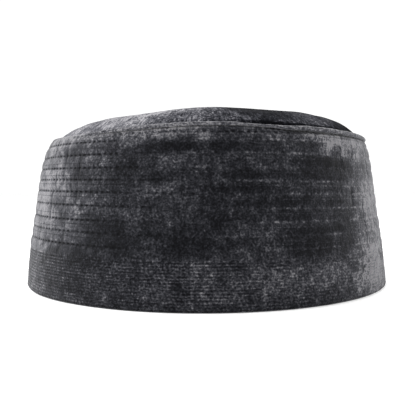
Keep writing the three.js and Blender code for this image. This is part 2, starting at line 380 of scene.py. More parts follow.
def patches(deg, z, table, ragged):
    total = 0.0
    for at, height, half_turn, half_height, tilt, strength in table:
        d = (np.asarray(deg, float) - at + 180.0) % 360.0 - 180.0
        across = d / half_turn
        up = (z - height - math.tan(math.radians(tilt)) * d * 1.6) / half_height
        r = np.sqrt(across ** 2 + up ** 2) + ragged
        total = total + strength * (1 - smoothstep(0.35, 1.35, r))
    return total


def band_tone_and_shading(deg, z):
    """Lightness of the pile from 0 to 1, with 0.5 the plain cloth, and painted light and painted shade added in."""
    turn = np.asarray(deg, float) / 360.0
    d = centred(deg)
    ragged = 0.42 * cloud(turn, z / 5.0, 96, 31, 3) + 0.16 * noise(turn, z / 1.2, 420, 34)
    tone_and_shading = 0.493 + 0.9 * patches(deg, z, BAND_TONE_AND_LIGHT_PATCHES, ragged)
    tone_and_shading = tone_and_shading + 0.085 * cloud(turn, z / 8.0, 60, 51, 4, 0.7)
    loose = 0.35 + 0.65 * window(deg, -150, -130, -42, -24)
    hem = 1 - smoothstep(HEM_HEIGHT - 0.6, HEM_HEIGHT + 1.2, z)
    # painted shade in the short creases of the loose strips and in the creases down the wall
    tone_and_shading = tone_and_shading - 0.10 * loose * (1 - hem) * cell_creases(deg, z)
    for at, low, high, width, amount in CREASES:
        off = centred(np.asarray(deg, float) - at)
        body = smoothstep(low - 2, low + 2, z) * (1 - smoothstep(high - 2, high + 2, z))
        tone_and_shading = tone_and_shading - 0.8 * amount * body * np.exp(-(off / (width * 0.9)) ** 2)
    # darker on the close hem rows and lighter between them: painted shade in their grooves
    tone_and_shading = tone_and_shading + hem * 0.10 * (hem_wave(deg, z) - 0.5)
    # painted shade in the groove under the topstitched ridge
    tone_and_shading = tone_and_shading - 0.80 * crispness(deg) * smoothstep(-0.42, -0.22, z - band_top(deg))
    # painted light on the front-left just under the edge, lifting the shade there
    tone_and_shading = tone_and_shading + 0.26 * window(deg, -64, -50, 0, 12) * smoothstep(-1.5, -0.2, z - band_top(deg))
    return np.clip(tone_and_shading, 0.0, 1.0)


def band_weave(deg, z):
    """For the material: how far the pile lies in dashes along the cloth, in streaks down it, and smooth."""
    hem = 1 - smoothstep(HEM_HEIGHT - 0.6, HEM_HEIGHT + 1.2, z)
    brushed = window(deg, 30, 46, 84, 100) * (1 - hem)
    smooth = window(deg, -150, -130, -44, -26) * (1 - hem)
    return hem, 0.25 + 0.75 * brushed, smooth


# ---- mesh help -----------------------------------------------------------------------------------
def new_object(name, points, faces, tone_and_shading=None, cloth=None, row=None, weave=None):
    mesh = bpy.data.meshes.new(name)
    mesh.from_pydata((np.asarray(points, float) * MM).tolist(), [], faces)
    mesh.validate()
    mesh.polygons.foreach_set("use_smooth", [True] * len(mesh.polygons))
    # the lightness attribute: the pile's tone with painted shade and painted highlight mixed in
    if tone_and_shading is not None:
        layer = mesh.attributes.new("tone_and_shading", "FLOAT", "POINT")
        layer.data.foreach_set("value", np.asarray(tone_and_shading, np.float32))
    # cloth: millimetres along and up the cloth; row: distance to a stitch row, stitches counted round
    # and strength, painted shade where below 0 and painted highlight where above 0; weave: share of dashes along the
    # cloth, of streaks up it and of smooth pile
    for key, values in (("cloth", cloth), ("row", row), ("weave", weave)):
        if values is not None:
            layer = mesh.attributes.new(key, "FLOAT_VECTOR", "POINT")
            layer.data.foreach_set("vector", np.asarray(values, np.float32).ravel())
    obj = bpy.data.objects.new(name, mesh)
    bpy.context.scene.collection.objects.link(obj)
    return obj


def ring_faces(rings, columns):
    """Quads between rings of `columns` points each, wound with the first ring at the bottom."""
    i = np.arange(columns)
    j = (i + 1) % columns
    faces = []
    for r in range(rings - 1):
        a, b = r * columns, (r + 1) * columns
        faces.extend(np.stack([a + i, a + j, b + j, b + i], axis=1).tolist())
    return faces


def ring_grid(columns):
    return np.arange(columns) * (360.0 / columns) - 180.0


def vectors(*parts):
    return np.stack([p + 0.0 * parts[0] for p in parts], axis=1)


# ---- side band: the velvet -----------------------------------------------------------------------
def make_band():
    columns = 820
    deg = ring_grid(columns)
    levels = []  # each is (height for every column, distance outwards for every column)
    one = np.ones(columns)
    for z, out in ((18.6, -3.12), (10.0, -3.16), (2.0, -3.1), (0.5, -2.75), (0.05, -2.1), (0.0, -1.3)):
        levels.append((z * one, out * one))
    heights = [z * one for z in np.linspace(0.18, HEM_HEIGHT, 47)]
    first = row_level(0, deg)
    heights += [HEM_HEIGHT + (first - HEM_HEIGHT) * t for t in (0.2, 0.4, 0.6, 0.8, 1.0)]
    for row in range(len(ROWS) - 2):
        low, high = row_level(row, deg), row_level(row + 1, deg)
        heights += [low + (high - low) * t for t in (0.12, 0.28, 0.5, 0.72, 0.88, 1.0)]
    top = band_top(deg)
    last = row_level(len(ROWS) - 2, deg)
    heights += [last + (top - last) * t for t in np.linspace(0, 1, 15)[1:]]
    for z in heights:
        levels.append((z, band_out(deg, z)))
    # over the edge: in under the rolled edge, or on the slack side round a soft shoulder
    last = band_out(deg, top)
    loose = slack(deg)
    for k in range(1, 6):
        a = math.radians(18 * k)
        z = (top + 0.02) * (1 - loose) + (top + 0.86 * math.sin(a)) * loose
        out = last - (0.30 + 0.16 * k) * (1 - loose) - 2.9 * (1 - math.cos(a)) * loose
        levels.append((z, out))
    points = np.concatenate([wall_point(deg, z, out) for z, out in levels])
    tone_and_shading = np.concatenate([band_tone_and_shading(deg, z) for z, out in levels])
    turn = (deg + 180.0) / 360.0
    cloth = np.concatenate([vectors(turn * 560.0, z, 0.0) for z, out in levels])
    row = np.concatenate([vectors(*row_marks(deg, z)) for z, out in levels])
    weave = np.concatenate([vectors(*band_weave(deg, z)) for z, out in levels])
    return new_object("band_velvet", points, ring_faces(len(levels), columns), tone_and_shading, cloth, row, weave)


def make_band_inside():
    columns = 360
    deg = ring_grid(columns)
    turn = deg / 360.0
    one = np.ones(columns)
    levels = [(z * one, (-WALL + 0.02) * one) for z in (17.4, 19.0)]
    for row in range(len(ROWS) - 1):
        for off in (-1.6, -0.7, 0.0, 0.7, 1.6):
            z = row_level(row, deg) + off
            levels.append((z, -WALL + 0.02 + 0.22 * math.exp(-(off / 0.8) ** 2) + 0.07 * noise(turn, z / 5.0, 60, 81)))
    top = edge_height(deg) - WELT_HEIGHT - 0.1
    levels.append((top - 1.2, (-WALL + 0.05) * one))
    levels.append((top, (-WALL + 0.3) * one))
    points = np.concatenate([wall_point(deg, z, out) for z, out in levels])
    cloth = np.concatenate([vectors((turn + 0.5) * 540.0, z, 0.0) for z, out in levels])
    faces = [f[::-1] for f in ring_faces(len(levels), columns)]
    return new_object("band_inside", points, faces, None, cloth)


# ---- rolled edge ---------------------------------------------------------------------------------
def make_welt():
    columns, around = 1100, 26
    deg = ring_grid(columns)
    turn = deg / 360.0
    edge = edge_height(deg)
    loose = slack(deg)
    # full where it is topstitched, and under the cloth of the band on the slack side
    crisp = crispness(deg)
    proud = WELT_PROUD - 0.15 * window(deg, 56, 80, 105, 125) - 0.95 * loose
    levels, tones_and_shading = [], []
    for k in range(around):
        angle = 2 * math.pi * k / around + math.pi / 2 + 0.2
        ca, sa = math.cos(angle), math.sin(angle)
        lump = (0.10 * noise(turn, k * 0.35, 150, 91) + 0.09 * noise(turn, k * 0.5, 330, 92)) * (1 - loose)
        # flattened on its inner side where it is sewn to the crown
        across = (WELT_WIDTH / 2) * abs(ca) ** 0.82 * (1 if ca > 0 else -1)
        up = (WELT_HEIGHT / 2) * abs(sa) ** 0.86 * (1 if sa > 0 else -1)
        out = proud - WELT_WIDTH / 2 + across * (1 - 0.12 * loose) + lump * max(ca, 0.0)
        z = edge - WELT_HEIGHT / 2 + up * (1 - 0.25 * loose) - 0.25 * loose + lump * abs(sa) * 0.6
        z = z + 0.12 * noise(turn, 0.5, 22, 93) * (1 - loose) - 0.45 * crisp * (0.5 - 0.5 * sa)
        z = z - 0.55 * window(deg, 6, 14, 22, 32) * (0.5 + 0.5 * sa)
        x, y, nx, ny = wall_frame(deg, edge - WELT_HEIGHT / 2)
        levels.append(np.stack([x + nx * out, y + ny * out, z], axis=1))
        # painted highlight: the rolled edge is painted lighter than the band, most on its upper outer face; its
        # underside gets painted shade on the crisp side and painted light on the front-left
        light = 0.60 + 0.14 * window(deg, -66, -46, 100, 140)
        ridge = 0.08 * max(0.0, math.cos(angle - 0.9)) - 0.60 * crisp * max(0.0, math.cos(angle + math.pi / 2)) ** 9
        ridge = ridge + 0.20 * window(deg, -66, -48, 0, 12) * max(0.0, math.cos(angle + math.pi / 2))
        tones_and_shading.append(light + ridge + 0.16 * noise(turn, k * 0.8, 300, 95) + 0.06 * noise(turn, k * 0.4, 60, 96))
    points = np.concatenate(levels)
    i = np.arange(columns)
    j = (i + 1) % columns
    faces = []
    for r in range(around):
        if r == 9:  # the two edges of the folded strip, down in the seam
            continue
        a, b = r * columns, ((r + 1) % around) * columns
        faces.extend(np.stack([a + i, b + i, b + j, a + j], axis=1).tolist())
    cloth = np.concatenate([vectors((turn + 0.5) * 520.0, 70 + 0.35 * k, 0.0) for k in range(around)])
    weave = np.tile([0.0, 0.3, 0.0], (len(points), 1))
    return new_object("edge_velvet", points, faces, np.concatenate(tones_and_shading), cloth, 0 * points, weave)


# ---- crown panel ---------------------------------------------------------------------------------
def crown_height(x, y, share, deg):
    border = edge_height(deg) - 0.4
    level = CROWN_MIDDLE + (border - CROWN_MIDDLE) * share * share
    square = CROWN_SQUARE + CROWN_CRISP * np.maximum(0.0, np.sin(np.radians(deg))) ** 2
    soft = CROWN_SOFT + CROWN_LIMP * np.maximum(0.0, -np.sin(np.radians(deg))) ** 2
    z = level + CROWN_RISE * np.power(np.maximum(0.0, 1 - np.power(share, square)), soft)
    for fx, fy, turn, half_length, half_width, rise in FOLDS:
        c, s = math.cos(math.radians(turn)), math.sin(math.radians(turn))
        along = ((y - fy) * c + (x - fx) * s) / half_length
        across = ((x - fx) * c - (y - fy) * s) / half_width
        z = z + rise * np.exp(-along ** 2 - across ** 2) * (1 - share ** 6)
    return z


def crown_border(deg, deeper=0.0):
    edge = edge_height(deg)
    return wall_point(deg, edge - 1.0, -(CROWN_INSET + deeper))


SETTLE_COLUMNS, SETTLE_SHARES = 96, np.linspace(0.0, 1.0, 26) ** 0.8


def settle_crown():
    """Lets the panel settle as cloth that is a little too big for its seam, and gives how far each
    point of a coarse grid moves (rings by columns by 3), in millimetres."""
    columns, shares = SETTLE_COLUMNS, SETTLE_SHARES
    deg = ring_grid(columns)
    outer = crown_border(deg)
    rings = []
    for share in shares[1:]:
        px, py = share * outer[:, 0], share * outer[:, 1]
        rings.append(np.stack([px, py, crown_height(px, py, share * np.ones(columns), deg)], axis=1))
    # a faint unevenness, so that the cloth buckles in a direction of its own
    for k, ring in enumerate(rings):
        ring[:, 2] += 0.25 * cloud((ring[:, 0] + 200) / 400.0, ring[:, 1] / 16.0, 26, 161, 2) * (1 - shares[k + 1] ** 8)
    start = np.concatenate(rings + [[[0.0, 0.0, float(rings[0][:, 2].mean())]]])
    count = len(rings)
    faces = ring_faces(count, columns)
    middle = count * columns
    i = np.arange(columns)
    faces = [f[::-1] for f in faces] + np.stack([i, (i + 1) % columns, middle + 0 * i], axis=1).tolist()
    trial = new_object("crown_trial", start, faces)
    pin = trial.vertex_groups.new(name="pin")
    pin.add(list(range((count - 1) * columns, count * columns)), 1.0, "REPLACE")
    pin.add(list(range((count - 2) * columns, (count - 1) * columns)), 0.5, "REPLACE")
    modifier = trial.modifiers.new("cloth", "CLOTH")
    cloth = modifier.settings
    cloth.quality = 8
    cloth.mass = 0.15
    cloth.tension_stiffness, cloth.compression_stiffness = 20, 20
    cloth.shear_stiffness, cloth.bending_stiffness = 8, 0.35
    cloth.tension_damping = cloth.compression_damping = 12
    cloth.air_damping = 4
    cloth.vertex_group_mass = "pin"
    cloth.shrink_min = -0.020
    cloth.effector_weights.gravity = 0.0
    modifier.collision_settings.use_collision = False
    modifier.collision_settings.use_self_collision = False
    modifier.point_cache.frame_start, modifier.point_cache.frame_end = 1, 20
    for frame in range(1, 21):
        bpy.context.scene.frame_set(frame)
    done = trial.evaluated_get(bpy.context.evaluated_depsgraph_get()).to_mesh()
    end = np.empty(len(done.vertices) * 3, np.float32)
    done.vertices.foreach_get("co", end)
    trial.evaluated_get(bpy.context.evaluated_depsgraph_get()).to_mesh_clear()
    bpy.context.scene.frame_set(1)
    moved = end.reshape(-1, 3).astype(float) / MM - start
    mesh = trial.data
    bpy.data.objects.remove(trial)
    bpy.data.meshes.remove(mesh)
    # the panel's own swell stays as it is: only the buckles smaller than it are kept
    flat = start[:, :2]
    apart = ((flat[:, None, :] - flat[None, :, :]) ** 2).sum(axis=2)
    weight = np.exp(-apart / (2 * 15.0 ** 2))
    moved = moved - (weight @ moved) / weight.sum(axis=1)[:, None]
    size = np.linalg.norm(moved, axis=1)
    print("crown settled: largest move", round(float(size.max()), 2), "mean", round(float(size.mean()), 2), "mm", flush=True)
    moved = moved * np.minimum(1.0, SETTLE_CAP / np.maximum(size, 1e-6))[:, None]
    # the crisp side keeps its shape
    moved = moved * (0.4 - 0.25 * smoothstep(-20, 30, start[:, 0]))[:, None]
    grid = np.zeros((len(shares), columns, 3))
    grid[0] = moved[-1]
    grid[1:] = moved[:-1].reshape(count, columns, 3)
    return grid


SETTLE_CAP = 2.2  # no point moves more than this


def settled(grid, share, deg):
    """How far the settled cloth has moved at a share and angle."""
    columns = SETTLE_COLUMNS
    x = ((np.asarray(deg, float) + 180.0) % 360.0) / 360.0 * columns
    i = np.floor(x).astype(int)
    fx = (x - i)[:, None]
    k = int(np.clip(np.searchsorted(SETTLE_SHARES, share, side="right") - 1, 0, len(SETTLE_SHARES) - 2))
    f = (share - SETTLE_SHARES[k]) / (SETTLE_SHARES[k + 1] - SETTLE_SHARES[k])

    def ring(r):
        # smooth reading between columns
        p = [grid[r, (i + n) % columns] for n in (-1, 0, 1, 2)]
        return 0.5 * (2 * p[1] + (p[2] - p[0]) * fx + (2 * p[0] - 5 * p[1] + 4 * p[2] - p[3]) * fx ** 2
                      + (3 * p[1] - p[0] - 3 * p[2] + p[3]) * fx ** 3)

    g = f * f * (3 - 2 * f)
    return ring(k) * (1 - g) + ring(k + 1) * g


def crown_pucker(share, deg):
    """Easing puckers that run in from the seam."""
    turn = np.asarray(deg, float) / 360.0
    near = smoothstep(0.60, 0.97, share) * (1 - smoothstep(0.985, 1.0, share))
    return near * (noise(turn, 0.5, 52, 101) * 0.26 + noise(turn, 3.5, 104, 102) * 0.16)


# x, y, direction of the crease from the +Y axis, half length, half width, depth
CROWN_CREASES = [(-52, -48, 58, 15, 2.2, 0.55), (-30, -62, 74, 14, 2.4, 0.35), (12, -70, 84, 12, 2.0, -0.10),
                 (38, -58, 112, 13, 2.0, 0.08), (60, -34, 140, 14, 2.6, 0.12), (-62, -12, 20, 15, 2.6, 0.35),
                 (58, 30, 40, 14, 2.6, 0.30), (-44, 58, 120, 14, 2.6, 0.30), (20, 66, 95, 14, 2.4, 0.25)]
# patches painted lighter (+) or darker (-): partly the lie of the pile, partly painted light, lighter on the left half
# towards the key light and darker on the right
CROWN_TONE_AND_LIGHT_PATCHES = [  # x, y, half length along x, half length along y, turn, strength
    (-38, -40, 34, 50, 0, 0.26), (-62, -40, 10, 18, 10, 0.10), (-47, -62, 6, 10, 10, -0.08), (-33, -64, 11, 14, 0, 0.14), (-20, -54, 10, 18, 0, 0.19), (0, -52, 11, 18, 0, 0.28), (-3, -64, 10, 16, 0, 0.14), (-26, -4, 30, 36, 0, 0.11),
    (-8, -74, 9, 14, 0, 0.10), (-28, -72, 9, 4, 0, -0.06), (34, -56, 20, 22, 0, -0.12),
    (22, -66, 13, 18, 0, -0.24), (62, -36, 11, 22, 15, -0.30), (66, -10, 12, 24, -10, -0.20),
    (42, -64, 7, 10, -35, 0.10), (40, -30, 16, 18, 0, -0.16), (30, 20, 26, 30, 0, -0.10), (-10, 44, 32, 26, 20, 0.14),
    (40, 60, 18, 16, 0, 0.10), (-50, 40, 18, 22, 0, -0.12), (8, -20, 16, 30, 10, -0.10)]


# lightness of the crown: the pile's tone with painted light and painted shade
def crown_tone_and_shading(x, y, share, deg):
    turn = np.asarray(deg, float) / 360.0
    u, v = (x + 200.0) / 400.0, y
    ragged = 0.40 * cloud(u, v / 12.0, 40, 111, 3) + 0.14 * noise(u, v / 3.0, 150, 112)
    tone_and_shading = 0.545 + 0.12 * cloud(u, v / 14.0, 34, 113, 4, 0.7)
    for px, py, hx, hy, turned, strength in CROWN_TONE_AND_LIGHT_PATCHES:
        c, s = math.cos(math.radians(turned)), math.sin(math.radians(turned))
        a = ((x - px) * c + (y - py) * s) / hx
        b = (-(x - px) * s + (y - py) * c) / hy
        tone_and_shading = tone_and_shading + strength * (1 - smoothstep(0.45, 1.4, np.sqrt(a * a + b * b) + ragged))
    # the shadow of the seam
    tone_and_shading = tone_and_shading - (0.02 + 0.30 * smoothstep(-8, 18, centred(deg))) * smoothstep(0.978, 0.988, share) * (1 - slack(deg))
    return np.clip(tone_and_shading, 0.0, 1.0)


def make_crown(grid):
    columns = 640
    deg = ring_grid(columns)
    edge = edge_height(deg)
    outer, inner = crown_border(deg), crown_border(deg, CROWN_CLOTH - 0.2)
    turn = (deg + 180.0) / 360.0
    shares = np.concatenate([np.linspace(0.02, 0.5, 14), np.linspace(0.5, 0.86, 21)[1:], np.linspace(0.86, 0.97, 14)[1:],
                             [0.975, 0.979, 0.983, 0.987, 0.991, 0.995, 1.0]])
    points, tones_and_shading, cloth, weave = [], [], [], []

    def add(px, py, pz, tone_and_shading, share):
        points.append(np.stack([px, py, pz], axis=1))
        tones_and_shading.append(tone_and_shading + 0.0 * px)
        cloth.append(vectors(turn * 480.0, share * 85.0, 0.0))
        weave.append(vectors(0.0 * turn, 0.9 * float(smoothstep(0.5, 0.85, share)), 1 - smoothstep(-34, -4, px)))

    # up the turned-down border, painted darker as painted shade behind the rolled edge, then in over the top
    add(inner[:, 0], inner[:, 1], edge - CROWN_HEM, 0.4, 1.0)
    add(outer[:, 0], outer[:, 1], edge - CROWN_HEM, 0.4, 1.0)
    add(outer[:, 0], outer[:, 1], edge - 1.6, 0.2, 1.0)
    for share in shares[::-1]:
        px, py = share * outer[:, 0], share * outer[:, 1]
        s = share * np.ones(columns)
        z = crown_height(px, py, s, deg) + crown_pucker(s, deg)
        for cx, cy, turned, half_length, half_width, depth in CROWN_CREASES:
            c, n = math.cos(math.radians(turned)), math.sin(math.radians(turned))
            along = ((px - cx) * n + (py - cy) * c) / half_length
            across = ((px - cx) * c - (py - cy) * n) / half_width
            z = z - depth * np.exp(-along ** 2) * (np.exp(-across ** 2) - 0.4 * np.exp(-(across - 2.0) ** 2 / 2.2)) * (1 - share ** 12)
        z = z + 0.10 * cloud((px + 200) / 400.0, py / 9.0, 44, 125, 3) * (1 - share ** 10)
        move = settled(grid, share, deg) * (1 - share ** 14)
        add(px + move[:, 0], py + move[:, 1], z + move[:, 2], crown_tone_and_shading(px, py, s, deg), share)
    rings = len(points)
    faces = ring_faces(rings, columns)
    flat = np.concatenate(points)
    count = len(flat)
    flat = np.concatenate([flat, [[0.0, 0.0, float(points[-1][:, 2].mean())]]])
    last = (rings - 1) * columns
    i = np.arange(columns)
    faces.extend(np.stack([last + i, last + (i + 1) % columns, count + 0 * i], axis=1).tolist())
    tones_and_shading = np.append(np.concatenate(tones_and_shading), tones_and_shading[-1].mean())
    cloth = np.concatenate(cloth + [[[0, 0, 0]]])
    weave = np.concatenate(weave + [[[0, 0, 0]]])
    return new_object("crown_velvet", flat, faces, tones_and_shading, cloth, 0 * cloth, weave)


def make_crown_inside(grid):
    columns = 240
    deg = ring_grid(columns)
    edge = edge_height(deg)
    outer, inner = crown_border(deg), crown_border(deg, CROWN_CLOTH - 0.2)
    points, cloth = [], []
    shares = np.concatenate([np.linspace(0.03, 0.86, 22), [0.9, 0.93, 0.955, 0.975, 0.988, 1.0]])
    for share in shares:
        px, py = share * inner[:, 0], share * inner[:, 1]
        z = crown_height(share * outer[:, 0], share * outer[:, 1], share * np.ones(columns), deg) - CROWN_CLOTH
        move = settled(grid, share, deg) * (1 - share ** 14)
        points.append(np.stack([px + move[:, 0], py + move[:, 1], z + move[:, 2]], axis=1))
        cloth.append(vectors(px, py, 0.0))
    points.append(np.stack([inner[:, 0], inner[:, 1], edge - CROWN_HEM], axis=1))
    cloth.append(vectors(inner[:, 0] * 1.02, inner[:, 1] * 1.02, 0.0))
    faces = ring_faces(len(points), columns)
    flat = np.concatenate(points + [[[0.0, 0.0, float(points[0][:, 2].mean())]]])
    i = np.arange(columns)
    faces.extend(np.stack([(i + 1) % columns, i, len(flat) - 1 + 0 * i], axis=1).tolist())
    return new_object("crown_inside", flat, faces, None, np.concatenate(cloth + [[[0, 0, 0]]]))


# ---- stitches ------------------------------------------------------------------------------------
def stitches(name, rows, sides, steps, seed, slant=0.0):
    """rows is a list of (height function, number of stitches, phase, depth function, thread radius,
    share function, share of the pitch left open at each end)."""
    rng = np.random.default_rng(seed)
    ring = np.arange(sides) * 2 * np.pi / sides
    t = np.linspace(0, 1, steps)[None, :]
    blocks = []
    for height, count, phase, sink, radius, share, open_end in rows:
        k = np.arange(count)[:, None]
        jitter = rng.uniform(-1, 1, (count, 4))
        missing = rng.uniform(0, 1, count) < 0.06
        gap = open_end + 0.04 * jitter[:, :1]
        d0, d1 = (k + phase + gap) * 360.0 / count - 180.0, (k + 1 + phase - gap) * 360.0 / count - 180.0
        keep = (share((0.5 * (d0 + d1))[:, 0]) > 0.5) & ~missing
        deg = (d0 + (d1 - d0) * t)[keep]
        jitter = jitter[keep]
        z = height(deg) + 0.05 * jitter[:, 1:2] + (0.07 * jitter[:, 2:3] + slant) * (2 * t - 1)
        down = sink(deg) + 0.20 * (2 * t - 1) ** 2 + 0.07 * jitter[:, 3:4]
        centre = wall_point(deg, z, band_out(deg, z) - down)
        x, y, nx, ny = wall_frame(deg, z)
        r = radius * (1 + 0.30 * jitter[:, 1:2]) * np.where((t < 0.01) | (t > 0.99), 0.5, 1.0)
        outs, ups = r[..., None] * np.cos(ring), r[..., None] * np.sin(ring)
        blocks.append(np.stack([centre[..., 0:1] + nx[..., None] * outs, centre[..., 1:2] + ny[..., None] * outs,
                                centre[..., 2:3] + ups], axis=-1).reshape(-1, steps * sides, 3))
    points = np.concatenate(blocks)
    total = len(points)
    base = (np.arange(total) * steps * sides)[:, None]
    faces = []
    for s in range(steps - 1):
        for q in range(sides):
            a, b = s * sides + q, s * sides + (q + 1) % sides
            faces.extend((base + np.array([a, a + sides, b + sides, b])).tolist())
    faces.extend((base + np.arange(sides)).tolist())
    faces.extend((base + (steps - 1) * sides + np.arange(sides)[::-1]).tolist())
    return new_object(name, points.reshape(-1, 3), faces)


def thread_sink(deg):
    """The thread lies on the cloth on the slack side and is drowned in the pile elsewhere."""
    return 0.22 - 0.24 * window(deg, -150, -120, -40, -20)


def make_stitches():
    everywhere = lambda deg: np.ones_like(deg)
    rows = []
    for i in range(len(ROWS)):
        rows.append((lambda deg, i=i: row_height(i, deg), STITCHES, -0.5 - 0.37 * i, thread_sink, 0.17, everywhere, 0.17))
    rows.append((lambda deg: UPPER_ROW + 0.0 * deg, STITCHES, -0.7, lambda deg: 0.06 + 0.0 * deg, 0.16, upper_row_share, 0.20))
    rows.append((topstitch_height, STITCHES, -1.2, lambda deg: 0.05 + 0.0 * deg, 0.22, lambda deg: window(deg, 14, 20, 150, 179), 0.05))
    wide = stitches("band_stitches", rows, 6, 5, 7)
    hem = []
    for k in range(15):
        z = 0.9 + HEM_PITCH * k
        if z > HEM_HEIGHT - 0.6:
            break
        hem.append((lambda deg, z=z: z - hem_wander(deg, z), HEM_STITCHES, -0.31 * k, lambda deg: thread_sink(deg) * 0.4 + 0.03,
                    0.13, everywhere, 0.20))
    close = stitches("hem_stitches", hem, 5, 4, 8)
    # slanting overcast stitches along the rim
    rim = stitches("rim_stitches", [(lambda deg: 0.95 + 0.0 * deg, 420, 0.0, lambda deg: 0.02 + 0.0 * deg, 0.15, everywhere, 0.12)],
                   6, 5, 9, slant=0.62)
    return wide, close, rim


# ---- materials -----------------------------------------------------------------------------------
def node(tree, kind, x, y, **values):
    n = tree.nodes.new(kind)
    n.location = (x, y)
    for key, value in values.items():
        setattr(n, key, value)
    return n


def grey(v):
    return (v, v * 1.01, v * 1.08)


def velvet(name, low, high, grain=1.0, sheen=0.3, specular=0.08):
    """Crushed pile. Its lightness follows the painted tone and shading of the cloth, broken up by the grain of the pile
    tips, by dashes along the cloth and streaks up it, and by painted shade and highlight along the stitch rows."""
    material = bpy.data.materials.new(name)
    material.use_nodes = True
    tree = material.node_tree
    tree.nodes.clear()
    link = tree.links.new
    out = node(tree, "ShaderNodeOutputMaterial", 1500, 0)
    bsdf = node(tree, "ShaderNodeBsdfPrincipled", 1200, 0)
    link(bsdf.outputs[0], out.inputs["Surface"])
    bsdf.inputs["Roughness"].default_value = 0.92
    bsdf.inputs["Specular IOR Level"].default_value = specular
    bsdf.inputs["Sheen Weight"].default_value = sheen
    bsdf.inputs["Sheen Roughness"].default_value = 0.36
    bsdf.inputs["Sheen Tint"].default_value = (0.86, 0.86, 0.88, 1)

    def math_node(operation, x, y, *values):
        n = node(tree, "ShaderNodeMath", x, y, operation=operation)
        for k, value in enumerate(values):
            if isinstance(value, (int, float)):
                n.inputs[k].default_value = value
            else:
                link(value, n.inputs[k])
        return n.outputs[0]

    def soft_range(value, x, y, lo, hi, to_lo, to_hi):
        n = node(tree, "ShaderNodeMapRange", x, y, interpolation_type="SMOOTHSTEP")
        link(value, n.inputs["Value"])
        for key, v in (("From Min", lo), ("From Max", hi), ("To Min", to_lo), ("To Max", to_hi)):
            n.inputs[key].default_value = v
        return n.outputs["Result"]

    def attribute(key, x, y):
        return node(tree, "ShaderNodeAttribute", x, y, attribute_name=key)

    def split(vector, x, y):
        n = node(tree, "ShaderNodeSeparateXYZ", x, y)
        link(vector, n.inputs[0])
        return n.outputs

    def texture(vector, x, y, scale, detail, rough, stretch=None):
        if stretch:
            m = node(tree, "ShaderNodeMapping", x - 200, y)
            m.inputs["Scale"].default_value = stretch
            link(vector, m.inputs["Vector"])
            vector = m.outputs["Vector"]
        n = node(tree, "ShaderNodeTexNoise", x, y)
        n.inputs["Scale"].default_value = scale
        n.inputs["Detail"].default_value = detail
        n.inputs["Roughness"].default_value = rough
        link(vector, n.inputs["Vector"])
        return n.outputs["Fac"]

    space = node(tree, "ShaderNodeTexCoord", -1500, -300).outputs["Object"]
    cloth = attribute("cloth", -1500, -100).outputs["Vector"]
    weave = split(attribute("weave", -1500, 500).outputs["Vector"], -1300, 500)
    row = split(attribute("row", -1500, 800).outputs["Vector"], -1300, 800)
    total = attribute("tone_and_shading", -1500, 300).outputs["Fac"]

    mottle = texture(space, -1000, 200, 300, 5, 0.66)
    tips = texture(space, -1000, -40, 1250, 2, 0.6)
    # bright tips that stand out of the dark pile
    specks = soft_range(texture(space, -1000, -280, 900, 1, 0.5), -800, -280, 0.52, 0.72, 0.0, 1.0)
    dashes = texture(cloth, -1000, -520, 1.0, 3, 0.6, (0.42, 1.35, 1.0))
    streaks = texture(cloth, -1000, -760, 1.0, 3, 0.6, (1.15, 0.16, 1.0))
    rough = math_node("MULTIPLY_ADD", -900, 420, weave["Z"], -0.42, 1.04)
    parts = [math_node("MULTIPLY", -500, 200, math_node("MULTIPLY", -600, 200, math_node("SUBTRACT", -760, 200, mottle, 0.5), 0.85 * grain), rough),
             math_node("MULTIPLY", -500, -40, math_node("MULTIPLY", -600, -40, math_node("SUBTRACT", -760, -40, tips, 0.5), 1.15 * grain), rough),
             math_node("MULTIPLY", -600, -280, math_node("SUBTRACT", -640, -280, specks, 0.22), 0.10 * grain),
             math_node("MULTIPLY", -600, -520, math_node("MULTIPLY", -640, -520, math_node("SUBTRACT", -760, -520, dashes, 0.5), weave["X"]), 0.8 * grain),
             math_node("MULTIPLY", -600, -760, math_node("MULTIPLY", -640, -760, math_node("SUBTRACT", -760, -760, streaks, 0.5), weave["Y"]), 0.9 * grain)]
    # stitch rows: painted shade where their strength is below 0 and painted highlight where it is above 0, varied
    # stitch by stitch
    line = soft_range(math_node("ABSOLUTE", -1100, 900, row["X"]), -900, 900, 0.06, 0.76, 1.0, 0.0)
    turns = math_node("MULTIPLY", -1100, 700, row["Y"], 2 * math.pi)
    dots = soft_range(math_node("COSINE", -1000, 700, turns), -900, 700, -0.6, 0.5, 0.36, 1.0)
    parts.append(math_node("MULTIPLY", -600, 800, math_node("MULTIPLY", -700, 800, line, dots), row["Z"]))
    for k, part in enumerate(parts):
        total = math_node("ADD", -300 + 120 * k, 300, total, part)
    ramp = node(tree, "ShaderNodeValToRGB", 700, 200)
    ramp.color_ramp.interpolation = "LINEAR"
    stops = 9
    for k in range(stops):
        u = k / (stops - 1)
        v = low * (high / low) ** u
        # the dark pile is bluish, the light tips nearly neutral
        colour = (v * (0.93 + 0.09 * u), v, v * (1.36 - 0.31 * u), 1)
        if k == 0 or k == stops - 1:
            stop = ramp.color_ramp.elements[0 if k == 0 else -1]
            stop.position = u
        else:
            stop = ramp.color_ramp.elements.new(u)
        stop.color = colour
    link(total, ramp.inputs["Fac"])
    link(ramp.outputs["Color"], bsdf.inputs["Base Color"])
    height = math_node("MULTIPLY_ADD", 600, -300, tips, 0.6, mottle)
    bump = node(tree, "ShaderNodeBump", 900, -300)
    bump.inputs["Strength"].default_value = 0.55
    bump.inputs["Distance"].default_value = 0.0004
    link(height, bump.inputs["Height"])
    link(bump.outputs["Normal"], bsdf.inputs["Normal"])
    return material


